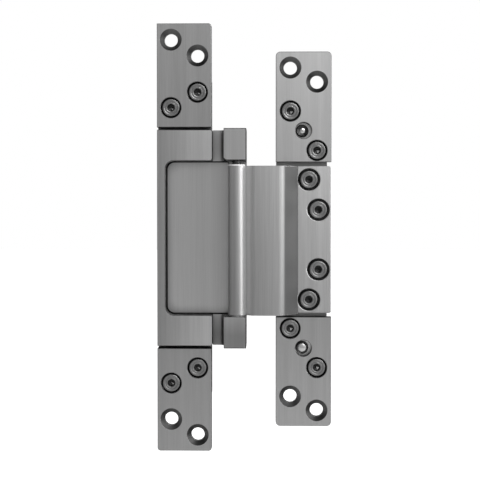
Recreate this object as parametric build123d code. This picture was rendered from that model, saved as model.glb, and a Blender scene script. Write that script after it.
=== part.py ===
"""Concealed door hinge, opened flat, as separate sub-parts in millimetres.

Frame: the origin is on the knuckle's axis at mid-height, +Z runs up the axis,
+X points to the door side and +Y points into the mortises, away from the faces.
"""

from build123d import *
import os

# Knuckle, pin and bearings
barrel_radius = 5.0
pin_radius = 2.5
bush_wall = 1.0
bush_length = 20.0
washer_thickness = 0.8
washer_radius = 4.8
sunk_washer_radius = 4.2
washer_proud = 0.5
knuckle_play = 2.3
running_clearance = 0.05
seat_clearance = 0.02

# Face plates of both sides
plate_thickness = 6.0
edge_chamfer = 0.3
corner_radius = 1.8
screw_hole_radius = 3.9
countersink_radius = 6.4
hole_offset = 7.75

# Jamb side
jamb_width = 31.8
jamb_inner_edge = 14.75
jamb_plate_length = 60.2
jamb_plate_gap = 1.5
jamb_far_hole_inset = 9.45
jamb_near_hole_inset = 18.65
jamb_outer_clamp_inset = 20.35
jamb_inner_clamp_inset = 11.35
housing_half_height = 63.15
housing_thickness = 10.0
housing_bar = 4.7
housing_overhang = 0.45
housing_end_bar = 17.95
pocket_corner_radius = 5.0
tab_margin = 0.2
tab_end_clearance = 7.0

# Knuckle leaf
leaf_thickness = 6.0
pad_height = 2.0
pad_groove = 0.6
pad_bore_gap = 0.1
leaf_fit = 0.1
land_recess = 5.0
land_blend_radius = 3.2
ear_width = 13.0
ear_overhang = 5.6
ear_height = 18.05
ear_protrusion = 0.5
ear_corner_radius = 2.0
ear_edge_radius = 0.6
bar_end_radius = 1.4
leaf_screw_radius = 2.5
leaf_screw_head_radius = 4.6
leaf_screw_reach = 7.0
leaf_screw_inset_x = 5.7
leaf_screw_spacing_x = 15.0
lock_screw_radius = 2.0
lock_screw_length = 5.0
lock_screw_socket = 2.0
lock_screw_socket_depth = 2.0

# Gooseneck arm
arm_thickness = 6.0
web_rise = 11.0
web_crown = 0.4
neck_start_x = 4.8
web_left_x = 9.5
web_right_x = 27.0
slope_foot_x = 35.4
neck_back_x = 13.0
web_left_radius = 3.5
web_right_radius = 6.0
slope_foot_radius = 1.5
neck_radius = 0.9
flange_corner_radius = 1.2
flange_counterbore_radius = 6.55
flange_outer_screw_setback = 13.1
flange_inner_screw_setback = 7.6
flange_screw_end_inset = 8.2
flange_screw_step = 17.6
flange_end_relief = 0.8

# Door side
door_width = 32.4
door_inner_edge = 22.7
door_plate_length = 64.0
door_plate_gap = 2.0
door_rise = 0.45
door_corner_radius = 2.6
door_far_hole_inset = 9.25
door_near_hole_inset = 17.45
door_outer_clamp_inset = 29.6
door_inner_clamp_inset = 6.7
jack_hole_inset = 18.3
jack_hole_radius = 4.75
carrier_inner_margin = 0.3
carrier_outer_margin = 2.3
carrier_thickness = 10.0
carrier_end_wall = 7.5
carrier_chamfer = 1.0

# Low-head cap screws
screw_radius = 3.0
screw_head_radius = 5.0
screw_head_height = 3.9
screw_head_chamfer = 0.45
screw_head_recess = 0.3
screw_socket = 4.0
screw_socket_depth = 2.4
socket_point_depth = 0.7
head_groove_inner = 2.85
head_groove_outer = 3.75
head_groove_depth = 0.25
counterbore_radius = 6.0
shank_clearance = 0.2
thread_depth = 8.0
tapped_clearance = 0.03
screw_turn_step = 17.0

# Adjustment travel, each way
lateral_travel = 0.9
height_travel = 1.4
depth_travel = 1.0

# Depth jacks
jack_offset_x = -0.7
jack_thread_radius = 4.0
jack_collar_radius = 5.8
jack_collar_thickness = 2.0
jack_stub_radius = 3.3
jack_stub_length = 4.0
jack_socket = 3.0
jack_socket_depth = 2.6
jack_length = 9.5
jack_socket_turn = 15.0
collar_clearance = 0.3

# Modelling aids
cut_overshoot = 1.0
drill_tip_radius = 0.2
place_tolerance = 0.01

# Derived planes and centres
face_y = barrel_radius
plate_back_y = face_y + plate_thickness
housing_back_y = face_y + housing_thickness
leaf_back_y = housing_back_y + leaf_thickness
pad_y = housing_back_y - pad_height
land_y = face_y + land_recess
jamb_left_x = -jamb_inner_edge - jamb_width
jamb_right_x = -jamb_inner_edge
jamb_centre_x = (jamb_left_x + jamb_right_x) / 2
housing_right_x = jamb_right_x + housing_overhang
pocket_left_x = jamb_left_x + housing_bar
pocket_half_height = housing_half_height - housing_end_bar
jamb_plate_inner_z = housing_half_height + jamb_plate_gap
jamb_plate_outer_z = jamb_plate_inner_z + jamb_plate_length
ear_left_x = ear_overhang - ear_width
leaf_half_height = housing_half_height - leaf_fit
ear_half_gap = leaf_half_height - ear_height
ear_outer_z = leaf_half_height + ear_protrusion
arm_height = 2 * ear_half_gap - washer_proud - washer_thickness - knuckle_play
arm_bottom_z = -ear_half_gap + washer_proud
recess_top_z = -ear_half_gap + washer_thickness
arm_top_z = arm_bottom_z + arm_height
door_centre_z = (arm_bottom_z + arm_top_z) / 2 + door_rise
flange_outer_screw_z = arm_height / 2 - flange_screw_end_inset
flange_inner_screw_z = flange_outer_screw_z - flange_screw_step
door_right_x = door_inner_edge + door_width
door_centre_x = door_inner_edge + door_width / 2
door_plate_inner_z = arm_height / 2 + door_plate_gap
door_plate_outer_z = door_plate_inner_z + door_plate_length
carrier_front_y = plate_back_y
carrier_seat_y = plate_back_y + depth_travel
bush_radius = pin_radius + running_clearance + bush_wall

# Hole places, as (x, z) about each unit's own centre, for the upper plate
jamb_screw_places = [
    (-hole_offset, jamb_plate_outer_z - jamb_far_hole_inset),
    (hole_offset, jamb_plate_outer_z - jamb_near_hole_inset),
]
jamb_clamp_places = [
    (hole_offset, jamb_plate_inner_z + jamb_outer_clamp_inset),
    (-hole_offset, jamb_plate_inner_z + jamb_inner_clamp_inset),
]
door_screw_places = [
    (-hole_offset, door_plate_outer_z - door_far_hole_inset),
    (hole_offset, door_plate_outer_z - door_near_hole_inset),
]
door_clamp_places = [
    (-hole_offset, door_plate_inner_z + door_outer_clamp_inset),
    (hole_offset, door_plate_inner_z + door_inner_clamp_inset),
]
jack_place = (0.0, door_plate_inner_z + jack_hole_inset)
flange_screw_places = [
    (door_right_x - flange_outer_screw_setback, door_centre_z + flange_outer_screw_z),
    (door_right_x - flange_inner_screw_setback, door_centre_z + flange_inner_screw_z),
    (door_right_x - flange_inner_screw_setback, door_centre_z - flange_inner_screw_z),
    (door_right_x - flange_outer_screw_setback, door_centre_z - flange_outer_screw_z),
]


# Basic shapes

def block(x_low, x_high, y_low, y_high, z_low, z_high):
    """A box between two corners."""
    centre = ((x_low + x_high) / 2, (y_low + y_high) / 2, (z_low + z_high) / 2)
    return Pos(*centre) * Box(x_high - x_low, y_high - y_low, z_high - z_low)


def rod_y(x, z, radius, y_low, y_high):
    """A cylinder along Y."""
    return Pos(x, (y_low + y_high) / 2, z) * Rot(X=-90) * Cylinder(radius, y_high - y_low)


def cone_y(x, z, low_radius, high_radius, y_low, y_high):
    """A cone along Y, with its radius at each end."""
    centre = Pos(x, (y_low + y_high) / 2, z) * Rot(X=-90)
    return centre * Cone(low_radius, high_radius, y_high - y_low)


def rod_z(radius, z_low, z_high):
    """A cylinder along the knuckle's axis."""
    return Pos(0, 0, (z_low + z_high) / 2) * Cylinder(radius, z_high - z_low)


def hexagon_y(x, z, flats, y_low, y_high, turn):
    """A hexagonal prism along Y, turned about its own axis."""
    section = RegularPolygon(flats / 2, 6, major_radius=False)
    prism = extrude(section, y_high - y_low)
    return Pos(x, y_low, z) * Rot(X=-90) * Rot(Z=turn) * prism


def slot_y(x, z, radius, travel_x, travel_z, y_low, y_high):
    """A hole along Y, lengthened by the travel of the shank in it."""
    slot = rod_y(x - travel_x, z - travel_z, radius, y_low, y_high)
    if travel_x + travel_z == 0:
        return slot
    slot += rod_y(x + travel_x, z + travel_z, radius, y_low, y_high)
    wide_x = travel_x if travel_x > 0 else radius
    wide_z = travel_z if travel_z > 0 else radius
    slot += block(x - wide_x, x + wide_x, y_low, y_high, z - wide_z, z + wide_z)
    return slot


def edges_at(part, axis, **places):
    """The straight edges along one axis whose centres lie at the given places."""
    chosen = part.edges().filter_by(axis)
    for name, value in places.items():
        chosen = chosen.filter_by(
            lambda edge, n=name, v=value: abs(getattr(edge.center(), n) - v) < place_tolerance)
    return chosen


# Holes shared by the plates

def countersunk_hole(x, z, y_front, y_back):
    """A countersunk through hole, open at both faces."""
    depth = countersink_radius - screw_hole_radius
    hole = rod_y(x, z, screw_hole_radius, y_front - cut_overshoot, y_back + cut_overshoot)
    hole += cone_y(x, z, countersink_radius, screw_hole_radius, y_front, y_front + depth)
    return hole


def counterbored_slot(x, z, bore_radius, travel_x, travel_z, y_front, y_back):
    """A round recess for a screw head over a slot for its shank."""
    floor_y = y_front + screw_head_recess + screw_head_height
    mouth = bore_radius + edge_chamfer
    hole = rod_y(x, z, bore_radius, y_front - cut_overshoot, floor_y)
    hole += cone_y(x, z, mouth, bore_radius, y_front, y_front + edge_chamfer)
    slot_radius = screw_radius + shank_clearance
    hole += slot_y(x, z, slot_radius, travel_x, travel_z, floor_y, y_back + cut_overshoot)
    return hole


# Screws

def cap_screw(x, z, y_face, reach_y, turn):
    """A low-head cap screw whose head lies just under a face."""
    top_y = y_face + screw_head_recess
    seat_y = top_y + screw_head_height
    rim = screw_head_radius - screw_head_chamfer
    screw = rod_y(x, z, screw_head_radius, top_y + screw_head_chamfer, seat_y)
    screw += cone_y(x, z, rim, screw_head_radius, top_y, top_y + screw_head_chamfer)
    screw += rod_y(x, z, screw_radius, seat_y, reach_y)
    groove = rod_y(x, z, head_groove_outer, top_y, top_y + head_groove_depth)
    groove -= rod_y(x, z, head_groove_inner, top_y, top_y + head_groove_depth)
    socket_y = top_y + screw_socket_depth
    socket = hexagon_y(x, z, screw_socket, top_y, socket_y, turn)
    socket += cone_y(x, z, screw_socket / 2, drill_tip_radius, socket_y, socket_y + socket_point_depth)
    return screw - groove - socket


def leaf_screw(x, z):
    """A countersunk screw from the back of the leaf into the housing."""
    depth = leaf_screw_head_radius - leaf_screw_radius
    tip_y = leaf_back_y - leaf_thickness - leaf_screw_reach
    screw = rod_y(x, z, leaf_screw_radius, tip_y, leaf_back_y)
    screw += cone_y(x, z, leaf_screw_radius, leaf_screw_head_radius, leaf_back_y - depth, leaf_back_y)
    return screw - hexagon_y(x, z, leaf_screw_radius, leaf_back_y - depth, leaf_back_y, 0)


def leaf_screw_hole(x, z):
    """The countersunk hole in the leaf and the tapped hole in the housing."""
    depth = leaf_screw_head_radius - leaf_screw_radius
    radius = leaf_screw_radius + tapped_clearance
    head = leaf_screw_head_radius + tapped_clearance
    tip_y = leaf_back_y - leaf_thickness - leaf_screw_reach - tapped_clearance
    hole = rod_y(x, z, radius, tip_y, leaf_back_y + cut_overshoot)
    hole += cone_y(x, z, radius, head, leaf_back_y - depth, leaf_back_y)
    return hole


def leaf_screw_places():
    """Two screws through each end of the leaf, in the middle of the housing's bars."""
    left = pocket_left_x + leaf_screw_inset_x
    z = (pocket_half_height + housing_half_height) / 2
    return [(x, side * z) for side in (1, -1) for x in (left, left + leaf_screw_spacing_x)]


# Jamb side

def jamb_end_plate(upper):
    """An end plate of the jamb side: the lower one is the upper one turned half round."""
    centre = jamb_centre_x
    half = jamb_width / 2
    plate = block(-half, half, face_y, plate_back_y, jamb_plate_inner_z, jamb_plate_outer_z)
    outer_corners = edges_at(plate, Axis.Y, Z=jamb_plate_outer_z)
    if upper:
        outer_corners = outer_corners.filter_by(lambda edge: edge.center().X > 0)
    plate = fillet(outer_corners, corner_radius)
    plate = chamfer(plate.faces().sort_by(Axis.Y)[0].edges(), edge_chamfer)
    for x, z in jamb_screw_places:
        plate -= countersunk_hole(x, z, face_y, plate_back_y)
    for x, z in jamb_clamp_places:
        plate -= counterbored_slot(
            x, z, counterbore_radius, lateral_travel, 0, face_y, plate_back_y)
    return Pos(centre, 0, 0) * Rot(Y=0 if upper else 180) * plate


def jamb_housing():
    """The C-shaped face of the jamb side with a tab behind each end plate."""
    body = block(jamb_left_x, housing_right_x, face_y, housing_back_y,
                 -housing_half_height, housing_half_height)
    pocket = block(pocket_left_x, housing_right_x + 2 * pocket_corner_radius, face_y - cut_overshoot,
                   housing_back_y + cut_overshoot, -pocket_half_height, pocket_half_height)
    pocket = fillet(edges_at(pocket, Axis.Y, X=pocket_left_x), pocket_corner_radius)
    body -= pocket
    body = fillet(edges_at(body, Axis.Y, X=housing_right_x), bar_end_radius)
    body = chamfer(body.faces().sort_by(Axis.Y)[0].edges(), edge_chamfer)
    body += block(jamb_left_x, pocket_left_x, housing_back_y, leaf_back_y,
                  -housing_half_height, housing_half_height)
    tab_end_z = jamb_clamp_places[0][1] + tab_end_clearance
    for side in (1, -1):
        low, high = sorted((side * housing_half_height, side * tab_end_z))
        tab = block(jamb_left_x + tab_margin, jamb_right_x - tab_margin,
                    plate_back_y, leaf_back_y, low, high)
        body += tab
        for x, z in jamb_clamp_places:
            body -= rod_y(jamb_centre_x + side * x, side * z, screw_radius + tapped_clearance,
                          plate_back_y - cut_overshoot, leaf_back_y + cut_overshoot)
    for x, z in leaf_screw_places():
        body -= leaf_screw_hole(x, z)
    return body


def knuckle_leaf():
    """The leaf under the housing: floor pad, end lands and the two knuckle ears."""
    left = pocket_left_x + leaf_fit
    right = ear_overhang
    leaf = block(left, right, housing_back_y, leaf_back_y, -leaf_half_height, leaf_half_height)
    pad_half = pocket_half_height - pad_groove
    pad = block(pocket_left_x + pad_groove, -barrel_radius + pad_bore_gap, pad_y,
                housing_back_y, -pad_half, pad_half)
    pad_corners = edges_at(pad, Axis.Y, X=pocket_left_x + pad_groove)
    pad = fillet(pad_corners, pocket_corner_radius - pad_groove)
    pad = chamfer(pad.faces().sort_by(Axis.Y)[0].edges(), edge_chamfer)
    leaf += pad
    for side in (1, -1):
        inner, outer = side * ear_half_gap, side * leaf_half_height
        low, high = sorted((inner, outer))
        leaf += block(housing_right_x + leaf_fit, ear_left_x, land_y, housing_back_y, low, high)
        leaf += land_blend(low, high)
        leaf += knuckle_ear(side)
    leaf -= rod_z(pin_radius + seat_clearance, -ear_outer_z - cut_overshoot, ear_outer_z + cut_overshoot)
    for side in (1, -1):
        leaf -= lock_screw_body(side, lock_screw_radius + seat_clearance, ear_left_x - cut_overshoot)
    for x, z in leaf_screw_places():
        leaf -= leaf_screw_hole(x, z)
    return leaf


def knuckle_ear(side):
    """One ear of the knuckle, flush with the barrel: the lower one is turned half round."""
    inner, outer = side * ear_half_gap, side * ear_outer_z
    low, high = sorted((inner, outer))
    ear = block(ear_left_x, ear_overhang, -barrel_radius, housing_back_y, low, high)
    rounded_x = ear_left_x if side > 0 else ear_overhang
    ear = fillet(edges_at(ear, Axis.Y, X=rounded_x, Z=inner), ear_corner_radius)
    front = ear.faces().sort_by(Axis.Y)[0].edges()
    return fillet(front, ear_edge_radius)


def land_blend(low, high):
    """The hollow blend between an end land and its ear."""
    corner = block(ear_left_x - land_blend_radius, ear_left_x, land_y - land_blend_radius, land_y,
                   low, high)
    hollow = Pos(ear_left_x - land_blend_radius, land_y - land_blend_radius, (low + high) / 2)
    return corner - hollow * Cylinder(land_blend_radius, high - low)


def lock_screw_body(side, radius, left_x):
    """The space of a pin lock screw, from the ear's side to the pin."""
    z = side * (ear_half_gap + leaf_half_height) / 2
    right_x = -pin_radius - seat_clearance
    centre = Pos((left_x + right_x) / 2, 0, z)
    return centre * Rot(Y=90) * Cylinder(radius, right_x - left_x)


def pin_lock_screw(side):
    """A socket set screw that holds the pin in one ear."""
    left_x = -pin_radius - seat_clearance - lock_screw_length
    screw = lock_screw_body(side, lock_screw_radius, left_x)
    z = side * (ear_half_gap + leaf_half_height) / 2
    section = RegularPolygon(lock_screw_socket / 2, 6, major_radius=False)
    socket = Pos(left_x, 0, z) * Rot(Y=90) * extrude(section, lock_screw_socket_depth)
    return screw - socket


def hinge_pin():
    """The pin through both ears, with its ends chamfered."""
    pin = rod_z(pin_radius, -ear_outer_z + edge_chamfer, ear_outer_z - edge_chamfer)
    ends = pin.edges().filter_by(GeomType.CIRCLE)
    return chamfer(ends, edge_chamfer)


def ring_z(outer_radius, bottom_z, length):
    """A ring that runs on the pin."""
    ring = rod_z(outer_radius, bottom_z, bottom_z + length)
    return ring - rod_z(pin_radius + running_clearance, bottom_z, bottom_z + length)


# Gooseneck arm

def arm_outline():
    """The arm's section in XY, from the barrel over the web to the flange."""
    web_y = face_y - web_rise
    web_back_y = web_y + arm_thickness
    slope = Vector(slope_foot_x - web_right_x, web_rise).normalized()
    offset = Vector(-slope.Y, slope.X) * arm_thickness
    back_top = (web_right_x + offset.X
                + slope.X / slope.Y * (web_back_y - web_y - offset.Y))
    back_foot = (web_right_x + offset.X
                 + slope.X / slope.Y * (face_y + arm_thickness - web_y - offset.Y))
    neck_y = -(barrel_radius ** 2 - neck_start_x ** 2) ** 0.5
    crown_x = (web_left_x + web_right_x) / 2
    edges = [
        Line((neck_start_x, neck_y), (web_left_x, web_y + web_crown)),
        ThreePointArc((web_left_x, web_y + web_crown), (crown_x, web_y), (web_right_x, web_y + web_crown)),
        Line((web_right_x, web_y + web_crown), (slope_foot_x, face_y)),
        Line((slope_foot_x, face_y), (door_right_x, face_y)),
        Line((door_right_x, face_y), (door_right_x, face_y + arm_thickness)),
        Line((door_right_x, face_y + arm_thickness), (back_foot, face_y + arm_thickness)),
        Line((back_foot, face_y + arm_thickness), (back_top, web_back_y)),
        Line((back_top, web_back_y), (neck_back_x, web_back_y)),
        Line((neck_back_x, web_back_y), (0, barrel_radius)),
        Line((0, barrel_radius), (0, 0)),
        Line((0, 0), (neck_start_x, neck_y)),
    ]
    outline = make_face(Wire(edges))
    radii = [
        ((web_left_x, web_y + web_crown), web_left_radius),
        ((web_right_x, web_y + web_crown), web_right_radius),
        ((slope_foot_x, face_y), slope_foot_radius),
        ((back_foot, face_y + arm_thickness), slope_foot_radius + arm_thickness / 2),
        ((back_top, web_back_y), slope_foot_radius),
        ((neck_back_x, web_back_y), web_left_radius),
    ]
    for (x, y), radius in radii:
        corner = outline.vertices().sort_by_distance((x, y, 0))[0]
        outline = fillet(corner, radius)
    outline += Circle(barrel_radius)
    valley = outline.vertices().sort_by_distance((neck_start_x, neck_y, 0))[0]
    return fillet(valley, neck_radius)


def gooseneck_arm():
    """The forged arm in one piece, its flange relieved at the lower end."""
    arm = Pos(0, 0, arm_bottom_z) * extrude(arm_outline(), arm_height)
    arm -= block(slope_foot_x, door_right_x + cut_overshoot, face_y - cut_overshoot,
                 plate_back_y + cut_overshoot, arm_bottom_z - cut_overshoot,
                 arm_bottom_z + flange_end_relief)
    corners = edges_at(arm, Axis.Y, X=door_right_x)
    arm = fillet(corners, flange_corner_radius)
    ends = arm.faces().sort_by(Axis.Z)
    arm = chamfer(ends[0].edges() + ends[-1].edges(), edge_chamfer)
    arm -= rod_z(bush_radius + seat_clearance, arm_bottom_z - cut_overshoot, arm_top_z + cut_overshoot)
    arm -= rod_z(sunk_washer_radius + running_clearance, arm_bottom_z - cut_overshoot, recess_top_z)
    for x, z in flange_screw_places:
        arm -= counterbored_slot(x, z, flange_counterbore_radius, 0, height_travel,
                                 face_y, face_y + arm_thickness)
    return arm


# Door side

def door_end_plate(upper):
    """An end plate of the door side, with its jack hole."""
    half = door_width / 2
    plate = block(-half, half, face_y, plate_back_y, door_plate_inner_z, door_plate_outer_z)
    plate = fillet(edges_at(plate, Axis.Y, Z=door_plate_outer_z), door_corner_radius)
    plate = chamfer(plate.faces().sort_by(Axis.Y)[0].edges(), edge_chamfer)
    for x, z in door_screw_places:
        plate -= countersunk_hole(x, z, face_y, plate_back_y)
    for x, z in door_clamp_places:
        plate -= counterbored_slot(x, z, counterbore_radius, 0, 0, face_y, plate_back_y)
    x, z = jack_place
    plate -= rod_y(x, z, jack_hole_radius, face_y - cut_overshoot, plate_back_y + cut_overshoot)
    mouth = jack_hole_radius + edge_chamfer
    plate -= cone_y(x, z, mouth, jack_hole_radius, face_y, face_y + edge_chamfer)
    return Pos(door_centre_x, 0, door_centre_z) * Rot(Y=0 if upper else 180) * plate


def door_carrier():
    """The bar behind the door side that joins the end plates to the arm's flange."""
    inner_x = carrier_inner_margin - door_width / 2
    outer_x = door_width / 2 - carrier_outer_margin
    end_z = door_clamp_places[0][1] + carrier_end_wall
    back_y = carrier_front_y + carrier_thickness
    carrier = block(inner_x, outer_x, carrier_front_y, back_y, -end_z, end_z)
    carrier = chamfer(edges_at(carrier, Axis.Z, Y=back_y), carrier_chamfer)
    step_z = door_plate_inner_z - height_travel / 2
    tap = screw_radius + tapped_clearance
    for side in (1, -1):
        low, high = sorted((side * step_z, side * (end_z + cut_overshoot)))
        carrier -= block(inner_x - cut_overshoot, outer_x + cut_overshoot,
                         carrier_front_y - cut_overshoot, carrier_seat_y, low, high)
        for x, z in door_clamp_places:
            carrier -= rod_y(side * x, side * z, tap, carrier_front_y, back_y + cut_overshoot)
        x, z = side * jack_place[0] + jack_offset_x, side * jack_place[1]
        collar_floor = plate_back_y + jack_collar_thickness + depth_travel + collar_clearance
        carrier -= rod_y(x, z, jack_collar_radius + collar_clearance, carrier_front_y, collar_floor)
        carrier -= rod_y(x, z, jack_thread_radius + running_clearance, collar_floor,
                         back_y + cut_overshoot)
    carrier = Pos(door_centre_x, 0, door_centre_z) * carrier
    for x, z in flange_screw_places:
        carrier -= rod_y(x, z, tap, carrier_front_y - cut_overshoot, back_y + cut_overshoot)
    return carrier


def depth_jack(side):
    """A jack screw: its collar bears on the plate's back, its stub shows in the hole."""
    x = door_centre_x + side * jack_place[0] + jack_offset_x
    z = door_centre_z + side * jack_place[1]
    collar_y = plate_back_y + jack_collar_thickness
    stub_y = plate_back_y - jack_stub_length
    jack = rod_y(x, z, jack_collar_radius, plate_back_y, collar_y)
    jack += rod_y(x, z, jack_thread_radius, collar_y, plate_back_y + jack_length)
    stub = rod_y(x, z, jack_stub_radius, stub_y, plate_back_y)
    rim = stub.faces().sort_by(Axis.Y)[0].edges()
    jack += chamfer(rim, 2 * edge_chamfer)
    jack -= hexagon_y(x, z, jack_socket, stub_y, stub_y + jack_socket_depth, jack_socket_turn)
    floor_y = stub_y + jack_socket_depth
    return jack - cone_y(x, z, jack_socket / 2, drill_tip_radius, floor_y, floor_y + socket_point_depth)


# Assembly

def mirrored_places(places, centre_x, centre_z):
    """The places of both plates: the upper ones, then the same turned half round."""
    turned = [(centre_x + side * x, centre_z + side * z) for side in (1, -1) for x, z in places]
    return turned


def all_parts():
    """Every sub-part by its node name."""
    parts = {
        "jamb_end_plate_upper": jamb_end_plate(upper=True),
        "jamb_end_plate_lower": jamb_end_plate(upper=False),
        "jamb_housing": jamb_housing(),
        "knuckle_leaf": knuckle_leaf(),
        "hinge_pin": hinge_pin(),
        "pin_lock_screw_upper": pin_lock_screw(1),
        "pin_lock_screw_lower": pin_lock_screw(-1),
        "thrust_washer_upper": ring_z(washer_radius, arm_top_z, washer_thickness),
        "thrust_washer_lower": ring_z(sunk_washer_radius, -ear_half_gap, washer_thickness),
        "gooseneck_arm": gooseneck_arm(),
        "barrel_bush_upper": ring_z(bush_radius, arm_top_z - bush_length, bush_length),
        "barrel_bush_lower": ring_z(bush_radius, recess_top_z, bush_length),
        "door_carrier": door_carrier(),
        "door_end_plate_upper": door_end_plate(upper=True),
        "door_end_plate_lower": door_end_plate(upper=False),
        "depth_jack_upper": depth_jack(1),
        "depth_jack_lower": depth_jack(-1),
    }
    clamp_tip_y = plate_back_y + thread_depth
    groups = {
        "jamb_clamp_screw": mirrored_places(jamb_clamp_places, jamb_centre_x, 0),
        "door_clamp_screw": mirrored_places(door_clamp_places, door_centre_x, door_centre_z),
        "flange_screw": flange_screw_places,
    }
    for name, places in groups.items():
        for number, (x, z) in enumerate(places, start=1):
            parts[f"{name}_{number}"] = cap_screw(x, z, face_y, clamp_tip_y, screw_turn_step * number)
    for number, (x, z) in enumerate(leaf_screw_places(), start=1):
        parts[f"leaf_screw_{number}"] = leaf_screw(x, z)
    return parts


os.makedirs("parts", exist_ok=True)
for node, shape in all_parts().items():
    export_step(shape, f"parts/{node}.step")
    print(f"{node}: {shape.volume:.1f} mm3")
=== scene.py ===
"""Studio scene of a concealed door hinge, opened flat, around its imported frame."""

import logging
import math
from abc import ABC, abstractmethod
from collections.abc import Sequence
from dataclasses import dataclass
from enum import Enum

import bmesh
import bpy
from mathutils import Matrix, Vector

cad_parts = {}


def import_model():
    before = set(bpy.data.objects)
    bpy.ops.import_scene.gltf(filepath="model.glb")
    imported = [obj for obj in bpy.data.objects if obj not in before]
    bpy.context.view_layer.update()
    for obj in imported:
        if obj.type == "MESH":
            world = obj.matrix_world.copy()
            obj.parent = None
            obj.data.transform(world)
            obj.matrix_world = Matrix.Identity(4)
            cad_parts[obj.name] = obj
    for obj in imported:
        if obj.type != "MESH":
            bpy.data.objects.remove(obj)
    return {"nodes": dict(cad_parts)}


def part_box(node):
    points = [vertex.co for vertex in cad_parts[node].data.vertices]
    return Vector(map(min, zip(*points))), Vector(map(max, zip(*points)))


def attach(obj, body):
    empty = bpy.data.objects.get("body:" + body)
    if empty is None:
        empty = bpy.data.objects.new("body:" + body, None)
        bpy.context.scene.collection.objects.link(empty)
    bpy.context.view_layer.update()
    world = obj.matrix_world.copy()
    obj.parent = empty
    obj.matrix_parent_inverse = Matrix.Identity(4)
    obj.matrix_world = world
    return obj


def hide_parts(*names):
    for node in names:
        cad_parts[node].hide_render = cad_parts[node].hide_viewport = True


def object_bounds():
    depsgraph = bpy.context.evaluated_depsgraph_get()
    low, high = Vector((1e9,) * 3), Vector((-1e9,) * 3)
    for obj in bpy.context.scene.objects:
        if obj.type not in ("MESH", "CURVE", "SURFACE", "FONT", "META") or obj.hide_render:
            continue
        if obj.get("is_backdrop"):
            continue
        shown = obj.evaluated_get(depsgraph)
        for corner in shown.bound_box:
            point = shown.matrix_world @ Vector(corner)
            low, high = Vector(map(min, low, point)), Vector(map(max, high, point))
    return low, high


Colour = tuple[float, float, float]
Node = bpy.types.Node
Socket = bpy.types.NodeSocket
Tree = bpy.types.NodeTree
Value = Socket | float | tuple[float, ...] | Vector

MM = 0.001
log = logging.getLogger("hinge")

# Brushed grain
HAIRLINE_SCALE, HAIRLINE_DETAIL = 2600.0, 3.0
BAND_SCALE, BAND_DETAIL = 260.0, 4.0
HAIRLINE_HEIGHT, BAND_HEIGHT = 0.6, 0.4
HAIRLINE_TONE, BAND_TONE = 0.55, 0.45
TONE_CONTRAST = 2.2
MIDDLE_TONE = 0.5
NOISE_ROUGHNESS = 0.6

# Polished edges
EDGE_RADIUS = 0.35 * MM
EDGE_SAMPLES = 6
EDGE_GAIN = 5.0

# Painted shade in narrow gaps and deep recesses, from ambient occlusion
CREVICE_REACH = 8.0 * MM
CREVICE_SAMPLES = 12
CREVICE_SHADE_LEVEL = 0.012
BROAD_SHADE_SHUT, BROAD_SHADE_OPEN, BROAD_SHADE_LEVEL = 0.35, 0.95, 0.35

# Painted light and shade: a slow change of tone, lighter or darker by height and side
HINGE_LEFT, HINGE_RIGHT = -0.045, 0.055
HINGE_BOTTOM, HINGE_TOP = -0.125, 0.125

# Painted shade and highlight on chosen surfaces: where each mask starts and is full, along X or by
# the way a surface faces
SLOPE_START_X = (25.4 * MM, 28.1 * MM)
SLOPE_END_X = (36.2 * MM, 35.6 * MM)
SLOPE_FACING = (0.02, 0.2)
VALLEY_START_X = (2.5 * MM, 3.1 * MM)
VALLEY_FLANK_X = (5.0 * MM, 4.4 * MM)
VALLEY_WEB_X = (10.0 * MM, 7.5 * MM)
VALLEY_WEB_LEVEL = 0.36
RECESS_FACING = (0.95, 0.8)
SHELF_FACING = (0.1, 0.3)
# Painted light: a cone side that faces down to the left gets a lighter grey, as if lit
LIT_CONE_FACING = (0.1, -0.9)
CUT_DULLNESS = 0.15

# Turned rings
PATCH_SCALE, PATCH_DETAIL = 700.0, 3.0
RING_WOBBLE = 0.8

# Turned meshes
HEXAGON_SIDES = 6
SHARP_ANGLE = math.radians(28)
RINGS_PER_TURN = 8
# The side on which the painted glint in a socket lies, in degrees round the axis
GLINT_DIRECTION = -40.0


class GrainLay(Enum):
    """The way in which a surface was brushed, as noise scales across X, Y and Z."""

    VERTICAL = (1.0, 1.0, 0.012)
    CROSSWISE = (0.02, 1.0, 1.0)
    EVEN = (1.0, 1.0, 1.0)


class Blend(Enum):
    """The way in which a range goes from one end to the other."""

    LINEAR = "LINEAR"
    SMOOTH = "SMOOTHSTEP"


class SharedGroup(Enum):
    """The shader groups that the materials share, by name."""

    GRAIN = "brushed_grain"
    EDGE = "polished_edge"
    CREVICE = "dark_crevice"
    DRIFT = "tone_drift"
    MACHINED = "machined"
    RINGS = "turned_rings"


class PaintedToneMask(Enum):
    """The surfaces that have a painted shade or highlight mask, by its output's name."""

    SLOPE = "Slope"
    RECESS = "Recess"
    SHELF = "Shelf"
    VALLEY = "Valley"


# Node helpers

def grey(level: float) -> Colour:
    """Gives a neutral grey of one level."""
    return (level, level, level)


def opaque(colour: Colour) -> tuple[float, float, float, float]:
    """Gives a colour with full alpha."""
    return (*colour, 1.0)


def feed(tree: Tree, socket: Socket, value: Value) -> None:
    """Links another socket to an input, or sets the input to a plain value.

    Args:
        tree: The tree that they are in.
        socket: The input.
        value: What it takes.
    """
    if isinstance(value, Socket):
        tree.links.new(value, socket)
    else:
        socket.default_value = value


def math_node(tree: Tree, operation: str, first: Value, second: Value = 0.0) -> Socket:
    """Adds a Math node.

    Args:
        tree: The tree that it goes in.
        operation: The Math node's operation.
        first: A socket or a number.
        second: A socket or a number.

    Returns:
        The socket with the result.
    """
    node = tree.nodes.new("ShaderNodeMath")
    node.operation = operation
    feed(tree, node.inputs[0], first)
    feed(tree, node.inputs[1], second)
    return node.outputs[0]


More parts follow.
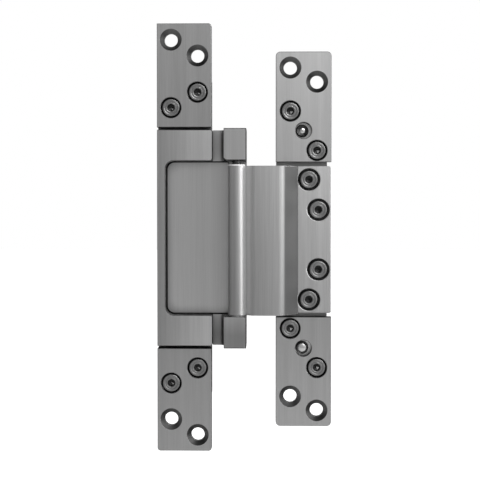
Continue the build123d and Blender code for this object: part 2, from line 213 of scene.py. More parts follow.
def vector_node(tree: Tree, operation: str, first: Value, second: Value | None = None) -> Node:
    """Adds a Vector Math node.

    Args:
        tree: The tree that it goes in.
        operation: The Vector Math node's operation.
        first: A socket or a vector.
        second: A socket or a vector, where the operation takes two.

    Returns:
        The node.
    """
    node = tree.nodes.new("ShaderNodeVectorMath")
    node.operation = operation
    feed(tree, node.inputs[0], first)
    if second is not None:
        feed(tree, node.inputs[1], second)
    return node


def split_node(tree: Tree, vector: Socket) -> Node:
    """Adds a Separate XYZ node.

    Args:
        tree: The tree that it goes in.
        vector: The socket with the vector.

    Returns:
        The node.
    """
    node = tree.nodes.new("ShaderNodeSeparateXYZ")
    tree.links.new(vector, node.inputs[0])
    return node


def range_node(tree: Tree, value: Socket, start: Value, end: Value, low: Value = 0.0,
               high: Value = 1.0, blend: Blend = Blend.LINEAR) -> Socket:
    """Adds a Map Range node, held at its ends.

    Args:
        tree: The tree that it goes in.
        value: The socket with the value.
        start: The value that gives the low result.
        end: The value that gives the high result.
        low: The result at the start.
        high: The result at the end.
        blend: How it goes between them.

    Returns:
        The socket with the result.
    """
    node = tree.nodes.new("ShaderNodeMapRange")
    node.interpolation_type = blend.value
    names = ("Value", "From Min", "From Max", "To Min", "To Max")
    for name, part in zip(names, (value, start, end, low, high)):
        feed(tree, node.inputs[name], part)
    return node.outputs["Result"]


def noise_node(tree: Tree, vector: Socket, scale: Value, detail: float) -> Socket:
    """Adds a Noise Texture node.

    Args:
        tree: The tree that it goes in.
        vector: The socket with its coordinates.
        scale: A socket or a number for its scale.
        detail: How many octaves it has.

    Returns:
        The socket with the noise value.
    """
    node = tree.nodes.new("ShaderNodeTexNoise")
    node.inputs["Detail"].default_value = detail
    node.inputs["Roughness"].default_value = NOISE_ROUGHNESS
    tree.links.new(vector, node.inputs["Vector"])
    feed(tree, node.inputs["Scale"], scale)
    return node.outputs["Fac"]


def mix_colours(tree: Tree, factor: Socket, first: Value, second: Value) -> Socket:
    """Adds a Mix node for colours.

    Args:
        tree: The tree that it goes in.
        factor: The socket with the second colour's share.
        first: A socket or a colour.
        second: A socket or a colour.

    Returns:
        The socket with the mixed colour.
    """
    node = tree.nodes.new("ShaderNodeMix")
    node.data_type = "RGBA"
    tree.links.new(factor, node.inputs["Factor"])
    feed(tree, node.inputs["A"], first)
    feed(tree, node.inputs["B"], second)
    return node.outputs["Result"]


def place_group(tree: Tree, which: SharedGroup, values: dict[str, float]) -> Node:
    """Places a shared group in a material.

    Args:
        tree: The material's node tree.
        which: The group.
        values: The material's own value of each input that it sets, by name.

    Returns:
        The group's node.
    """
    node = tree.nodes.new("ShaderNodeGroup")
    node.node_tree = bpy.data.node_groups[which.value]
    for name, value in values.items():
        node.inputs[name].default_value = value
    return node


# Shared shader groups

def new_group(which: SharedGroup, inputs: dict[str, float], outputs: tuple[str, ...]) -> Tree:
    """Makes an empty shader node group with number sockets.

    Args:
        which: The group.
        inputs: The default of each number input, by socket name.
        outputs: The names of the number outputs.

    Returns:
        The new group, with its input and output nodes inside.
    """
    group = bpy.data.node_groups.new(which.value, "ShaderNodeTree")
    for name, default in inputs.items():
        socket = group.interface.new_socket(name, in_out="INPUT", socket_type="NodeSocketFloat")
        socket.default_value = default
    for name in outputs:
        group.interface.new_socket(name, in_out="OUTPUT", socket_type="NodeSocketFloat")
    group.nodes.new("NodeGroupInput").name = "In"
    group.nodes.new("NodeGroupOutput").name = "Out"
    return group


def give_outputs(group: Tree, results: dict[str, Socket]) -> None:
    """Links results to a group's outputs.

    Args:
        group: The group.
        results: The socket for each output, by name.
    """
    for name, result in results.items():
        group.links.new(result, group.nodes["Out"].inputs[name])


def build_grain_group() -> None:
    """Makes the brushed grain: hairlines and broad bands, stretched along the brushing."""
    inputs = {f"Across {axis}": 1.0 for axis in "XYZ"}
    inputs |= {"Hairline Scale": HAIRLINE_SCALE, "Band Scale": BAND_SCALE}
    group = new_group(SharedGroup.GRAIN, inputs, ("Hairlines", "Bands", "Height"))
    source = group.nodes["In"].outputs
    stretch = group.nodes.new("ShaderNodeCombineXYZ")
    for axis in "XYZ":
        group.links.new(source[f"Across {axis}"], stretch.inputs[axis])
    coordinates = group.nodes.new("ShaderNodeTexCoord").outputs["Object"]
    place = vector_node(group, "MULTIPLY", coordinates, stretch.outputs[0]).outputs[0]
    hairlines = noise_node(group, place, source["Hairline Scale"], HAIRLINE_DETAIL)
    bands = noise_node(group, place, source["Band Scale"], BAND_DETAIL)
    height = math_node(group, "ADD", math_node(group, "MULTIPLY", hairlines, HAIRLINE_HEIGHT),
                       math_node(group, "MULTIPLY", bands, BAND_HEIGHT))
    give_outputs(group, {"Hairlines": hairlines, "Bands": bands, "Height": height})


def build_edge_group() -> None:
    """Makes the polished edge mask: it is high where a rounded normal leaves the true one."""
    group = new_group(SharedGroup.EDGE, {"Gain": EDGE_GAIN}, ("Mask",))
    bevel = group.nodes.new("ShaderNodeBevel")
    bevel.samples = EDGE_SAMPLES
    bevel.inputs["Radius"].default_value = EDGE_RADIUS
    normal = group.nodes.new("ShaderNodeNewGeometry").outputs["Normal"]
    along = vector_node(group, "DOT_PRODUCT", bevel.outputs[0], normal).outputs["Value"]
    away = math_node(group, "SUBTRACT", 1.0, along)
    gained = math_node(group, "MULTIPLY", away, group.nodes["In"].outputs["Gain"])
    mask = math_node(group, "MINIMUM", math_node(group, "MAXIMUM", gained, 0.0), 1.0)
    give_outputs(group, {"Mask": mask})


def build_crevice_shade_group() -> None:
    """Makes the mask of painted shade in narrow gaps and deep recesses, from ambient occlusion."""
    group = new_group(SharedGroup.CREVICE, {"Open": 0.55, "Shut": 0.25}, ("Mask",))
    source = group.nodes["In"].outputs
    hollow = group.nodes.new("ShaderNodeAmbientOcclusion")
    hollow.samples = CREVICE_SAMPLES
    hollow.inputs["Distance"].default_value = CREVICE_REACH
    openness = hollow.outputs["AO"]
    narrow = range_node(group, openness, source["Shut"], source["Open"], 1.0, 0.0, Blend.SMOOTH)
    broad = range_node(group, openness, BROAD_SHADE_SHUT, BROAD_SHADE_OPEN,
                       BROAD_SHADE_LEVEL, 0.0, Blend.SMOOTH)
    give_outputs(group, {"Mask": math_node(group, "MAXIMUM", narrow, broad)})


def build_light_drift_group() -> None:
    """Makes the painted light and shade over the hinge: a slow change of tone, as a factor for the
    colour.
    """
    inputs = {"Low": 1.0, "High": 1.0, "Left": 1.0, "Right": 1.0,
              "Bottom": HINGE_BOTTOM, "Top": HINGE_TOP}
    group = new_group(SharedGroup.DRIFT, inputs, ("Factor",))
    source = group.nodes["In"].outputs
    place = split_node(group, group.nodes.new("ShaderNodeTexCoord").outputs["Object"]).outputs
    upward = range_node(group, place["Z"], source["Bottom"], source["Top"],
                        source["Low"], source["High"])
    across = range_node(group, place["X"], HINGE_LEFT, HINGE_RIGHT,
                        source["Left"], source["Right"])
    give_outputs(group, {"Factor": math_node(group, "MULTIPLY", upward, across)})


def build_painted_tone_group() -> None:
    """Makes the masks of painted shade and painted highlight on surfaces that are not brushed.

    Slope is painted shade on the arm's milled slope, Recess is painted shade on cones, bores
    and edges, Shelf is painted shade on what faces up, down or right, and Valley is a painted
    highlight on the valley beside the barrel. Turned is high where a cone faces down to the left,
    where its painted grey is lighter, as if lit.
    """
    outputs = (*(mask.value for mask in PaintedToneMask), "Turned")
    group = new_group(SharedGroup.MACHINED, {}, outputs)
    coordinates = group.nodes.new("ShaderNodeTexCoord").outputs
    place_x = split_node(group, coordinates["Object"]).outputs["X"]
    facing = split_node(group, coordinates["Normal"]).outputs
    within = math_node(group, "MULTIPLY", range_node(group, place_x, *SLOPE_START_X),
                       range_node(group, place_x, *SLOPE_END_X))
    sideways = range_node(group, facing["X"], *SLOPE_FACING)
    web_side = math_node(group, "MULTIPLY", range_node(group, place_x, *VALLEY_WEB_X),
                         VALLEY_WEB_LEVEL)
    beyond = math_node(group, "MAXIMUM", range_node(group, place_x, *VALLEY_FLANK_X), web_side)
    barrel_side = range_node(group, place_x, *VALLEY_START_X)
    forward = math_node(group, "ABSOLUTE", facing["Y"])
    outward = math_node(group, "MAXIMUM", math_node(group, "ABSOLUTE", facing["Z"]), facing["X"])
    slant = math_node(group, "ADD", facing["X"], facing["Z"])
    give_outputs(group, {
        "Slope": math_node(group, "MULTIPLY", within, sideways),
        "Recess": range_node(group, forward, *RECESS_FACING),
        "Shelf": range_node(group, outward, *SHELF_FACING),
        "Valley": math_node(group, "MULTIPLY", barrel_side, beyond),
        "Turned": range_node(group, slant, *LIT_CONE_FACING),
    })


def build_turning_group() -> None:
    """Makes the fine rings that a lathe leaves round a piece's own Y axis."""
    group = new_group(SharedGroup.RINGS, {"Ring Pitch": 0.25 * MM}, ("Rings", "Patches"))
    coordinates = group.nodes.new("ShaderNodeTexCoord").outputs["Object"]
    place = split_node(group, coordinates).outputs
    across = math_node(group, "MULTIPLY", place["X"], place["X"])
    upward = math_node(group, "MULTIPLY", place["Z"], place["Z"])
    radius = math_node(group, "SQRT", math_node(group, "ADD", across, upward))
    patches = noise_node(group, coordinates, PATCH_SCALE, PATCH_DETAIL)
    count = math_node(group, "DIVIDE", radius, group.nodes["In"].outputs["Ring Pitch"])
    wavy = math_node(group, "ADD", count, math_node(group, "MULTIPLY", patches, RING_WOBBLE))
    rings = math_node(group, "SINE", math_node(group, "MULTIPLY", wavy, math.tau))
    give_outputs(group, {"Rings": rings, "Patches": patches})


def build_shared_groups() -> None:
    """Makes every shader group that the materials share."""
    build_grain_group()
    build_edge_group()
    build_crevice_shade_group()
    build_turning_group()
    build_light_drift_group()
    build_painted_tone_group()


# Parts of a finish

@dataclass(frozen=True)
class CreviceShade:
    """The openness at which painted shade begins on a surface, and at which it is darkest."""

    open_at: float
    shut_at: float

    def paint_shade(self, tree: Tree, colour: Socket) -> Socket:
        """Paints shade into a colour in narrow gaps and deep recesses.

        Args:
            tree: The material's node tree.
            colour: The socket with the open surface's colour.

        Returns:
            The socket with the shaded colour.
        """
        values = {"Open": self.open_at, "Shut": self.shut_at}
        mask = place_group(tree, SharedGroup.CREVICE, values).outputs["Mask"]
        return mix_colours(tree, mask, colour, opaque(grey(CREVICE_SHADE_LEVEL)))


@dataclass(frozen=True)
class LightDrift:
    """The factors of painted light and shade between which a colour drifts, upward between two
    heights and across.
    """

    low: float = 1.0
    high: float = 1.0
    left: float = 1.0
    right: float = 1.0
    bottom: float = HINGE_BOTTOM
    top: float = HINGE_TOP

    def spread(self, tree: Tree, colour: Socket) -> Socket:
        """Paints light and shade into a colour, as a slow change over the hinge.

        Args:
            tree: The material's node tree.
            colour: The socket with the colour before.

        Returns:
            The socket with the colour after.
        """
        values = {"Low": self.low, "High": self.high, "Left": self.left, "Right": self.right,
                  "Bottom": self.bottom, "Top": self.top}
        factor = place_group(tree, SharedGroup.DRIFT, values).outputs["Factor"]
        scaled = vector_node(tree, "SCALE", colour)
        tree.links.new(factor, scaled.inputs["Scale"])
        return scaled.outputs[0]


@dataclass(frozen=True)
class PaintedTone:
    """The painted grey of a surface in painted shade or highlight, and of a cone's side that faces
    down to the left, painted lighter as if lit.
    """

    mask: PaintedToneMask
    level: float
    lit_side_level: float

    def paint_tone(self, tree: Tree, masks: Node, colour: Socket) -> Socket:
        """Paints the surface's shade or highlight in its own grey.

        Args:
            tree: The material's node tree.
            masks: The node with the painted shade and highlight masks.
            colour: The socket with the brushed colour.

        Returns:
            The socket with the colour of both.
        """
        level = mix_colours(tree, masks.outputs["Turned"], opaque(grey(self.level)),
                            opaque(grey(self.lit_side_level)))
        return mix_colours(tree, masks.outputs[self.mask.value], colour, level)


# Finishes

@dataclass(frozen=True)
class Finish(ABC):
    """A finish that varies between a dark and a light tone."""

    name: str
    dark: Colour
    light: Colour

    @abstractmethod
    def material(self) -> bpy.types.Material:
        """Makes the material and gives it back."""

    def start(self) -> tuple[bpy.types.Material, Tree, Node]:
        """Makes the material with its shader alone.

        Returns:
            The material, its node tree and its shader.
        """
        made = bpy.data.materials.new(self.name)
        made.use_nodes = True
        return made, made.node_tree, made.node_tree.nodes["Principled BSDF"]

    def toned(self, tree: Tree, factor: Socket) -> Socket:
        """Mixes the two tones by a factor."""
        return mix_colours(tree, factor, opaque(self.dark), opaque(self.light))

    def raise_surface(self, tree: Tree, height: Socket, strength: float, depth: float) -> None:
        """Gives the surface a fine relief.

        Args:
            tree: The material's node tree.
            height: The socket with the relief's height.
            strength: How strongly it shows.
            depth: How deep it is, in metres.
        """
        bump = tree.nodes.new("ShaderNodeBump")
        bump.inputs["Strength"].default_value = strength
        bump.inputs["Distance"].default_value = depth
        tree.links.new(height, bump.inputs["Height"])
        tree.links.new(bump.outputs["Normal"], tree.nodes["Principled BSDF"].inputs["Normal"])


@dataclass(frozen=True)
class Steel(Finish):
    """A metal with polished edges, whose roughness varies between two values."""

    roughness: tuple[float, float] = (0.27, 0.36)
    edge_gain: float = EDGE_GAIN

    def polished(self, tree: Tree, colour: Socket, level: float) -> Socket:
        """Brightens a colour at the polished edges.

        Args:
            tree: The material's node tree.
            colour: The socket with the surface's colour.
            level: The grey level of the edges.

        Returns:
            The socket with the colour of both.
        """
        edge = place_group(tree, SharedGroup.EDGE, {"Gain": self.edge_gain})
        return mix_colours(tree, edge.outputs["Mask"], colour, opaque(grey(level)))

    def roughened(self, tree: Tree, factor: Socket) -> Socket:
        """Gives the roughness between its two values by a factor."""
        smooth, rough = self.roughness
        return math_node(tree, "ADD", math_node(tree, "MULTIPLY", factor, rough - smooth), smooth)


@dataclass(frozen=True)
class SatinSteel(Steel):
    """Satin stainless steel, brushed one way, with polished edges."""

    grain: GrainLay = GrainLay.VERTICAL
    bump: float = 0.10
    bump_depth: float = 0.05 * MM
    anisotropy: float = 0.55
    edge_level: float = 0.86
    crevice_shade: CreviceShade = CreviceShade(0.5, 0.22)
    drift: LightDrift = LightDrift()
    painted_tones: tuple[PaintedTone, ...] = ()

    def material(self) -> bpy.types.Material:
        """Makes the material.

        Returns:
            The node material.
        """
        made, tree, shader = self.start()
        shader.inputs["Metallic"].default_value = 1.0
        shader.inputs["Anisotropic"].default_value = self.anisotropy
        across = {f"Across {axis}": scale for axis, scale in zip("XYZ", self.grain.value)}
        grain = place_group(tree, SharedGroup.GRAIN, across).outputs
        factor = self.grain_tone(tree, grain["Hairlines"], grain["Bands"])
        # Painted light and shade: the colour is made lighter or darker by height and side.
        colour = self.drift.spread(tree, self.toned(tree, factor))
        rough = self.roughened(tree, factor)
        # Painted shade and painted highlight on chosen surfaces, which are also a little rougher.
        if self.painted_tones:
            masks = place_group(tree, SharedGroup.MACHINED, {})
            for painted_tone in self.painted_tones:
                colour = painted_tone.paint_tone(tree, masks, colour)
                dull = math_node(tree, "MULTIPLY", masks.outputs[painted_tone.mask.value], CUT_DULLNESS)
                rough = math_node(tree, "ADD", rough, dull)
        # Painted shade in narrow gaps and deep recesses, over the polished edges.
        colour = self.crevice_shade.paint_shade(tree, self.polished(tree, colour, self.edge_level))
        tree.links.new(colour, shader.inputs["Base Color"])
        tree.links.new(rough, shader.inputs["Roughness"])
        self.raise_surface(tree, grain["Height"], self.bump, self.bump_depth)
        return made

    def grain_tone(self, tree: Tree, hairlines: Socket, bands: Socket) -> Socket:
        """Mixes hairlines and bands to the factor between the two tones.

        Args:
            tree: The material's node tree.
            hairlines: The socket with the hairlines.
            bands: The socket with the bands.

        Returns:
            The socket with the factor.
        """
        mixed = math_node(tree, "ADD", math_node(tree, "MULTIPLY", hairlines, HAIRLINE_TONE),
                          math_node(tree, "MULTIPLY", bands, BAND_TONE))
        offset = math_node(tree, "SUBTRACT", mixed, MIDDLE_TONE)
        return math_node(tree, "ADD", math_node(tree, "MULTIPLY", offset, TONE_CONTRAST),
                         MIDDLE_TONE)


@dataclass(frozen=True)
class TurnedSteel(Steel):
    """Turned steel of screws and jacks, with fine rings round the axis."""

    roughness: tuple[float, float] = (0.24, 0.4)
    ring_pitch: float = 0.3 * MM
    bump: float = 0.25
    bump_depth: float = 0.04 * MM
    edge_level: float = 0.75
    crevice_shade: CreviceShade | None = CreviceShade(0.62, 0.3)

    def material(self) -> bpy.types.Material:
        """Makes the material.

        Returns:
            The node material.
        """
        made, tree, shader = self.start()
        shader.inputs["Metallic"].default_value = 1.0
        turning = place_group(tree, SharedGroup.RINGS, {"Ring Pitch": self.ring_pitch}).outputs
        colour = self.polished(tree, self.toned(tree, turning["Patches"]), self.edge_level)
        # Painted shade in narrow gaps and deep recesses.
        if self.crevice_shade:
            colour = self.crevice_shade.paint_shade(tree, colour)
        tree.links.new(colour, shader.inputs["Base Color"])
        tree.links.new(self.roughened(tree, turning["Patches"]), shader.inputs["Roughness"])
        self.raise_surface(tree, turning["Rings"], self.bump, self.bump_depth)
        return made


@dataclass(frozen=True)
class MouldedPlastic(Finish):
    """White low-friction plastic with a faint mottle."""

    roughness: float = 0.38
    mottle_scale: float = 900.0
    mottle_detail: float = 3.0
    bump: float = 0.1
    bump_depth: float = 0.03 * MM

    def material(self) -> bpy.types.Material:
        """Makes the material.

        Returns:
            The node material.
        """
        made, tree, shader = self.start()
        shader.inputs["Roughness"].default_value = self.roughness
        coordinates = tree.nodes.new("ShaderNodeTexCoord").outputs["Object"]
        mottle = noise_node(tree, coordinates, self.mottle_scale, self.mottle_detail)
        tree.links.new(self.toned(tree, mottle), shader.inputs["Base Color"])
        self.raise_surface(tree, mottle, self.bump, self.bump_depth)
        return made


# Painted shade on cones, bores and edges, with a lighter painted grey on cone sides that face down
# to the left, as if lit.
RECESS_SHADES = (PaintedTone(PaintedToneMask.RECESS, 0.09, 0.30),)
# Painted light and shade: each steel below is made lighter or darker toward its top or a side.
JAMB_STEEL = SatinSteel(
    "satin_steel_jamb", grey(0.49), grey(0.64), drift=LightDrift(low=0.96, high=1.08), painted_tones=RECESS_SHADES)
HOUSING_STEEL = SatinSteel(
    "satin_steel_housing", grey(0.60), grey(0.76),
    drift=LightDrift(low=0.95, high=1.09, left=0.78, right=2.5), painted_tones=RECESS_SHADES)
# Painted light and shade: the leaf is darker at its lower end and toward the right, and its edges
# that face up, down or right are painted dark.
LEAF_STEEL = SatinSteel(
    "satin_steel_leaf", grey(0.66), grey(0.78), bump=0.05, edge_gain=0.0,
    crevice_shade=CreviceShade(0.3, 0.1),
    drift=LightDrift(low=0.60, high=1.02, left=1.09, right=0.81, bottom=-0.056, top=-0.04),
    painted_tones=(PaintedTone(PaintedToneMask.SHELF, 0.09, 0.09),))
# Painted light and shade: lighter toward the top and right, painted shade on the milled slope, and
# a painted highlight on the valley beside the barrel.
ARM_STEEL = SatinSteel(
    "satin_steel_arm", grey(0.47), grey(0.63), roughness=(0.3, 0.4),
    drift=LightDrift(low=0.56, high=1.42, left=0.67, right=1.60),
    painted_tones=(PaintedTone(PaintedToneMask.SLOPE, 0.13, 0.13), PaintedTone(PaintedToneMask.VALLEY, 0.92, 0.92)))
# Painted light and shade: the two door plates are lit and shaded copies of one steel, the upper
# one lighter and lighter still toward the top.
DOOR_UPPER_LIT_STEEL = SatinSteel(
    "satin_steel_door_upper_lit", grey(0.82), grey(0.98), drift=LightDrift(low=0.6, high=1.08),
    painted_tones=RECESS_SHADES)
DOOR_LOWER_SHADED_STEEL = SatinSteel("satin_steel_door_lower_shaded", grey(0.56), grey(0.71), painted_tones=RECESS_SHADES)
MILLED_STEEL = SatinSteel(
    "milled_steel", grey(0.34), grey(0.48), roughness=(0.34, 0.46), grain=GrainLay.CROSSWISE,
    bump=0.2, anisotropy=0.3, crevice_shade=CreviceShade(0.85, 0.55))
PIN_STEEL = SatinSteel(
    "ground_pin_steel", grey(0.55), grey(0.7), roughness=(0.16, 0.24), grain=GrainLay.EVEN,
    bump=0.04, anisotropy=0.0, crevice_shade=CreviceShade(0.8, 0.45))
BUSH_BRONZE = SatinSteel(
    "bearing_bronze", (0.46, 0.30, 0.14), (0.62, 0.44, 0.22), roughness=(0.3, 0.42),
    grain=GrainLay.EVEN, bump=0.05, anisotropy=0.0)
SCREW_STEEL = TurnedSteel(
    "turned_screw_steel", grey(0.26), grey(0.40), edge_gain=2.0, crevice_shade=CreviceShade(0.5, 0.24))
# Painted glint: a bright steel for the spot where a socket's floor would catch the light.
PAINTED_GLINT_STEEL = TurnedSteel(
    "painted_glint_socket_steel", grey(0.9), grey(0.98), roughness=(0.2, 0.3), crevice_shade=None)
# Painted shade: dark steel on the screws' socket floors and walls.
SOCKET_SHADE_STEEL = TurnedSteel(
    "socket_painted_shade_steel", grey(0.07), grey(0.16), roughness=(0.34, 0.44), edge_gain=0.0)
JACK_STEEL = TurnedSteel(
    "bright_jack_steel", grey(0.82), grey(0.97), roughness=(0.14, 0.24), bump=0.12,
    crevice_shade=None)
# Painted shade: dark steel on the jack's floor and hexagon rim round the stub.
JACK_SHADE_STEEL = TurnedSteel(
    "jack_painted_shade_steel", grey(0.06), grey(0.12), roughness=(0.3, 0.4), bump=0.12, edge_gain=1.0)
WASHER_PLASTIC = MouldedPlastic("white_washer_plastic", grey(0.91), grey(0.97))


# Turned pieces

class Zone(Enum):
    """The zone of a turned piece that a ring belongs to, as its material's place."""

    BODY = 0
    # DARK is painted shade in sockets and rims, GLINT a painted highlight.
    DARK = 1
    GLINT = 2


@dataclass(frozen=True)
class Ring:
    """One ring of a turned mesh, by its depth from the face and its radius, in millimetres."""

    depth: float
    radius: float
    hexagonal: bool = False
    thread: float = 0.0
    zone: Zone = Zone.BODY


@dataclass(frozen=True)
class Thread:
    """A right-hand outside thread with a pointed tip, in millimetres."""

    radius: float
    depth: float = 0.5
    pitch: float = 1.0
    tip_length: float = 0.6
    tip_start_share: float = 0.6
    tip_end_share: float = 1.6

    def rings(self, start: float, end: float) -> tuple[Ring, ...]:
        """Makes the rings of a threaded length and its tip.

        Args:
            start: Where the thread starts, in millimetres from the face.
            end: Where the tip ends.

        Returns:
            The rings, from the first after the start to the tip.
        """
        tip = end - self.tip_length
        count = max(2, round((tip - start) / self.pitch * RINGS_PER_TURN))
        step = (tip - start) / count
        return (
            *(Ring(start + step * index, self.radius, thread=self.depth)
              for index in range(1, count)),
            Ring(tip, self.radius - self.depth * self.tip_start_share),
            Ring(end, self.radius - self.depth * self.tip_end_share),
        )


@dataclass(frozen=True)
class TurnedShape:
    """The rings of a turned piece round its own Y axis, from the socket's floor to the tip."""

    rings: tuple[Ring, ...]
    pitch: float
    glint_angle: float = 0.0
    glint_reach: float = 0.0
    segments: int = 72

    def radius(self, ring: Ring, angle: float) -> float:
        """Works out a ring's radius in one direction.

        Args:
            ring: The ring.
            angle: The direction round the axis, in radians.

        Returns:
            The radius in millimetres.
        """
        if ring.hexagonal:
            side = math.tau / HEXAGON_SIDES
            return ring.radius / math.cos((angle % side) - side / 2)
        if ring.thread:
            turn = (ring.depth / self.pitch - angle / math.tau) % 1.0
            return ring.radius - ring.thread * (1.0 - abs(2.0 * turn - 1.0))
        return ring.radius

    def material_index(self, ring: Ring, angle: float) -> int:
        """Picks a face's material: a painted glint lies on one side only, and the rest of its ring
        is painted shade.

        Args:
            ring: The ring that the face starts from.
            angle: The face's direction round the axis, in radians.

        Returns:
            The material's index.
        """
        outside = math.cos(angle - self.glint_angle) < math.cos(self.glint_reach)
        if ring.zone is Zone.GLINT and outside:
            return Zone.DARK.value
        return ring.zone.value

    def mesh(self, name: str) -> bpy.types.Mesh:
        """Builds the closed mesh.

        Args:
            name: The mesh's name.

        Returns:
            The mesh, in metres, with its face towards -Y at the local origin.
        """
        bm = bmesh.new()
        loops = []
        for ring in self.rings:
            loop = []
            for step in range(self.segments):
                angle = math.tau * step / self.segments
                reach = self.radius(ring, angle) * MM
                place = (reach * math.cos(angle), ring.depth * MM, reach * math.sin(angle))
                loop.append(bm.verts.new(place))
            loops.append(loop)
        for ring, first, second in zip(self.rings, loops, loops[1:]):
            for step in range(self.segments):
                after = (step + 1) % self.segments
                quad = bm.faces.new((first[step], first[after], second[after], second[step]))
                middle = math.tau * (step + 0.5) / self.segments
                quad.material_index = self.material_index(ring, middle)
        bm.faces.new(loops[0]).material_index = self.material_index(self.rings[0], 0.0)
        bm.faces.new(loops[-1])
        bmesh.ops.recalc_face_normals(bm, faces=bm.faces)
        for face in bm.faces:
            face.smooth = True
        for edge in bm.edges:
            edge.smooth = edge.calc_face_angle(0.0) < SHARP_ANGLE
        mesh = bpy.data.meshes.new(name)
        bm.to_mesh(mesh)
        bm.free()
        return mesh


def place_turned(name: str, mesh: bpy.types.Mesh, low: Vector, high: Vector, turn: float,
                 finishes: Sequence[bpy.types.Material]) -> bpy.types.Object:
    """Puts a turned mesh in the middle of its node's box, with its face at the front.

    Args:
        name: The piece's name.
        mesh: The piece's mesh.
        low: The box's lower corner.
        high: The box's upper corner.
        turn: How far it is turned round its axis, in degrees.
        finishes: Its materials, in the order of the zones.

    Returns:
        The piece.
    """
    piece = bpy.data.objects.new(name, mesh)
    piece.location = ((low.x + high.x) / 2, low.y, (low.z + high.z) / 2)
    piece.rotation_euler = (0.0, math.radians(turn), 0.0)
    for finish in finishes:
        mesh.materials.append(finish)
    bpy.context.scene.collection.objects.link(piece)
    return piece


@dataclass
class CapScrew:
    """A low-head cap screw with a hexagon socket and a turned groove, in millimetres.

    The socket's floor is listed by rise and by share of the hexagon's radius, and the face by
    depth and by share of the head's radius.
    """

    node: str
    body: str
    turn: float
    glint_reach: float
    head_radius: float = 5.0
    head_height: float = 3.9
    head_break: float = 0.1
    neck_length: float = 0.8
    socket: float = 4.0
    socket_depth: float = 2.4
    dimple_depth: float = 0.6
    dimple_radius: float = 0.15
    hexagon_foot: float = 0.12
    hexagon_rim: float = 0.18
    rim_depth: float = 0.1
    rim_share: float = 1.18
    socket_floor: tuple[tuple[float, float], ...] = ((0.0, 0.72), (0.1, 0.93))
    face: tuple[tuple[float, float], ...] = (
        (0.02, 0.53), (0.0, 0.57), (0.04, 0.59), (0.22, 0.61), (0.25, 0.66), (0.22, 0.72),
        (0.04, 0.75), (0.0, 0.77), (0.0, 0.93), (0.05, 0.96), (0.15, 0.985), (0.3, 1.0),
    )
    thread: Thread = Thread(radius=3.0)

    def shape(self, length: float) -> TurnedShape:
        """Lists the screw's rings.

        Args:
            length: The whole length, from the face to the tip.

        Returns:
            The shape to build.
        """
        flats = self.socket / 2
        floor = self.socket_depth
        outer = self.head_radius
        under = self.head_height
        neck = under + self.neck_length
        rings = (
            # Painted glint in the dimple of the socket's floor.
            Ring(floor + self.dimple_depth, self.dimple_radius, zone=Zone.GLINT),
            # Painted shade on the socket's floor and hexagon walls.
            *(Ring(floor - rise, flats * share, zone=Zone.DARK)
              for rise, share in self.socket_floor),
            Ring(floor - self.hexagon_foot, flats, hexagonal=True, zone=Zone.DARK),
            Ring(self.hexagon_rim, flats, hexagonal=True, zone=Zone.DARK),
            Ring(self.rim_depth, flats * self.rim_share),
            *(Ring(depth, outer * share) for depth, share in self.face),
            Ring(under - self.head_break, outer),
            Ring(under, outer - self.head_break),
            Ring(under, self.thread.radius),
            Ring(neck, self.thread.radius),
            *self.thread.rings(neck, length),
        )
        return TurnedShape(rings, self.thread.pitch, glint_reach=self.glint_reach,
                           glint_angle=math.radians(self.turn + GLINT_DIRECTION))

    def build(self, finishes: Sequence[bpy.types.Material]) -> None:
        """Builds the screw in its node's place and dresses it.

        Args:
            finishes: The materials of the screw, its socket's painted shade and the painted glint
                in it.
        """
        low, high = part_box(self.node)
        mesh = self.shape((high.y - low.y) / MM).mesh(f"{self.node}_mesh")
        screw = place_turned(f"{self.node}_screw", mesh, low, high, self.turn, finishes)
        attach(screw, self.body)
        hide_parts(self.node)
        log.info("built %s", screw.name)


